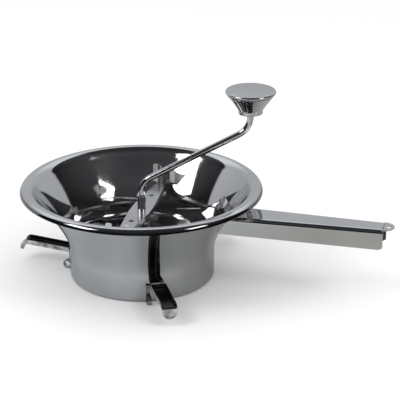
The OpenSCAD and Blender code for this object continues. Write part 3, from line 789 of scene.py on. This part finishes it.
def make_camera():
    a, e = math.radians(CAMERA_AZ), math.radians(CAMERA_EL)
    back = Vector((math.sin(a) * math.cos(e), -math.cos(a) * math.cos(e), math.sin(e)))
    right = Vector((math.cos(a), math.sin(a), 0))
    up = back.cross(right)
    target = (right * LOOK_RIGHT + up * LOOK_UP + Vector((0, 0, LOOK_HEIGHT))) * MM
    data = bpy.data.cameras.new("camera")
    data.sensor_width, data.lens, data.clip_end = 36, LENS, 30
    camera = bpy.data.objects.new("camera", data)
    camera.location = target + back * CAMERA_FAR
    camera.rotation_mode = "QUATERNION"
    camera.rotation_quaternion = back.to_track_quat("Z", "Y")
    bpy.context.scene.collection.objects.link(camera)
    bpy.context.scene.camera = camera


def chosen(tree, ray, others, own):
    """One colour for the rays of one kind, such as camera rays, and another for all others."""
    path = tree.nodes.new("ShaderNodeLightPath")
    return mixed(tree, others, own, path.outputs[ray])


def coordinate(tree, output, axis):
    """One coordinate of a texture space."""
    split = tree.nodes.new("ShaderNodeSeparateXYZ")
    tree.links.new(tree.nodes.new("ShaderNodeTexCoord").outputs[output], split.inputs["Vector"])
    return split.outputs[axis]


def make_floor():
    """Pale floor: a reflected grey that shifts from left to right, and white to the camera."""
    size = 6.0
    corners = [(-size, -size, 0), (size, -size, 0), (size, size, 0), (-size, size, 0)]
    mesh = bpy.data.meshes.new("floor")
    mesh.from_pydata(corners, [], [[0, 1, 2, 3]])
    floor = bpy.data.objects.new("floor", mesh)
    bpy.context.scene.collection.objects.link(floor)
    material = bpy.data.materials.new("floor_pale")
    tree, shader = nodes_of(material)
    shader.inputs["Roughness"].default_value = 0.8
    shader.inputs["Specular IOR Level"].default_value = 0.1
    share = ranged(tree, coordinate(tree, "Object", "X"), 0, 1, -0.02, 0.14)
    reflected = mixed(tree, (0.58, 0.60, 0.625), (0.40, 0.41, 0.385), share)
    seen = chosen(tree, "Is Camera Ray", reflected, (0.93, 0.93, 0.93))
    tree.links.new(seen, shader.inputs["Base Color"])
    mesh.materials.append(material)


def facing_share(tree, place, azimuth, half):
    """1 for directions within half degrees of an azimuth, else 0, with a soft edge."""
    level = tree.nodes.new("ShaderNodeVectorMath")
    level.operation, level.inputs[1].default_value = "MULTIPLY", (1, 1, 0)
    tree.links.new(place, level.inputs[0])
    unit = tree.nodes.new("ShaderNodeVectorMath")
    unit.operation = "NORMALIZE"
    tree.links.new(level.outputs[0], unit.inputs[0])
    middle, edge = math.radians(azimuth), math.cos(math.radians(half))
    facing = tree.nodes.new("ShaderNodeVectorMath")
    facing.operation = "DOT_PRODUCT"
    facing.inputs[1].default_value = (math.cos(middle), math.sin(middle), 0)
    tree.links.new(unit.outputs[0], facing.inputs[0])
    return ranged(tree, facing.outputs["Value"], 0, 1, edge - 0.02, edge + 0.02)


def ramp(tree, value, stops):
    """Slightly cool grey that changes with a value; a stop is a place and a brightness."""
    node = tree.nodes.new("ShaderNodeValToRGB")
    while len(node.color_ramp.elements) < len(stops):
        node.color_ramp.elements.new(0.5)
    for element, (place, grey) in zip(node.color_ramp.elements, stops):
        element.position, element.color = place, (grey * 0.97, grey, grey * 1.04, 1)
    tree.links.new(value, node.inputs["Fac"])
    return node.outputs["Color"]


def make_world():
    """A pale backdrop behind the mill and a dark room in front, seen only in the polished steel."""
    world = bpy.data.worlds.new("studio")
    bpy.context.scene.world = world
    world.use_nodes = True
    tree = world.node_tree
    place = tree.nodes.new("ShaderNodeTexCoord").outputs["Generated"]
    inside = facing_share(tree, place, BACKDROP_AZ, BACKDROP_HALF)
    up, white = coordinate(tree, "Generated", "Z"), (1.0, 1.0, 1.0)
    dark = [(0.0, 0.012), (0.42, 0.018), (0.58, 0.05), (0.75, 0.07), (0.9, 0.035), (1.0, 0.03)]
    pale = [(0.0, 0.50), (0.45, 0.60), (0.62, 0.95), (0.82, 0.90), (0.9, 0.08), (1.0, 0.04)]
    room = mixed(tree, ramp(tree, up, dark), ramp(tree, up, pale), inside)
    seen = chosen(tree, "Is Camera Ray", chosen(tree, "Is Glossy Ray", white, room), white)
    tree.links.new(seen, tree.nodes["Background"].inputs["Color"])


def softbox(name, place, aim, width, height, power):
    """Square-cornered area light that faces a point."""
    data = bpy.data.lights.new(name, "AREA")
    data.shape, data.size, data.size_y, data.energy = "RECTANGLE", width, height, power
    light = bpy.data.objects.new(name, data)
    light.location = place
    light.rotation_mode = "QUATERNION"
    light.rotation_quaternion = (Vector(place) - Vector(aim)).to_track_quat("Z", "Y")
    bpy.context.scene.collection.objects.link(light)


def make_lights():
    """Two softboxes, left and right of the camera: azimuth, elevation, width, height, power."""
    middle, distance = Vector((0.0, 0.0, 0.07)), 1.5
    boxes = {"left": (-141, 43, 0.58, 0.48, 5.0), "right": (-17, 38, 0.42, 0.36, 3.0)}
    for name, (azimuth, elevation, width, height, power) in boxes.items():
        a, e = math.radians(azimuth), math.radians(elevation)
        way = Vector((math.cos(a) * math.cos(e), math.sin(a) * math.cos(e), math.sin(e)))
        softbox(name, middle + way * distance, middle, width, height, power)


# ---------------------------------------------------------------- the mill

def build():
    polished, dark, tip, plain = polished_steel(), foot_steel(), tip_and_glint_steel(), plain_steel()
    satin, plastic = satin_steel(), bush_plastic()
    make_bowl(polished, lip_painted_dark_reflection())
    # The dark steel inside the handle is painted shade.
    make_handle(polished, dark)
    places = {"rear": (180, REAR_RISE, 9.5), "left": (60, SIDE_RISE, -9.5), "right": (-60, SIDE_RISE, -9.5)}
    for side, (azimuth, rise, catch_y) in places.items():
        # The bright tip steel also paints the glint at each root bend and highlights on the arms' sides.
        make_foot("foot_" + side, azimuth, rise, dark, tip)
    catch = catch_steel()
    for side, (azimuth, rise, catch_y) in places.items():
        make_catch("catch_" + side, azimuth, catch_y, catch)
    make_bridge_bar(satin)
    bracket = bracket_brightened_steel()
    make_bracket("bridge_bracket_left", 1, bracket)
    make_bracket("bridge_bracket_right", -1, bracket)
    make_rod(polished)
    make_spring(spring_wire())
    make_blade(polished)
    make_disc(satin)
    make_skirt(polished)
    make_cap(satin)
    for name in ("handle_rivets", "spindle_bush", "spring_seat", "stop_collar",
                 "cross_pin", "blade_hub", "knob_washer"):
        finish_node(name, plain)
    finish_node("knob_bush", plastic)


build()
make_floor()
make_world()
make_lights()
make_camera()
bpy.context.scene.view_settings.view_transform = "Standard"
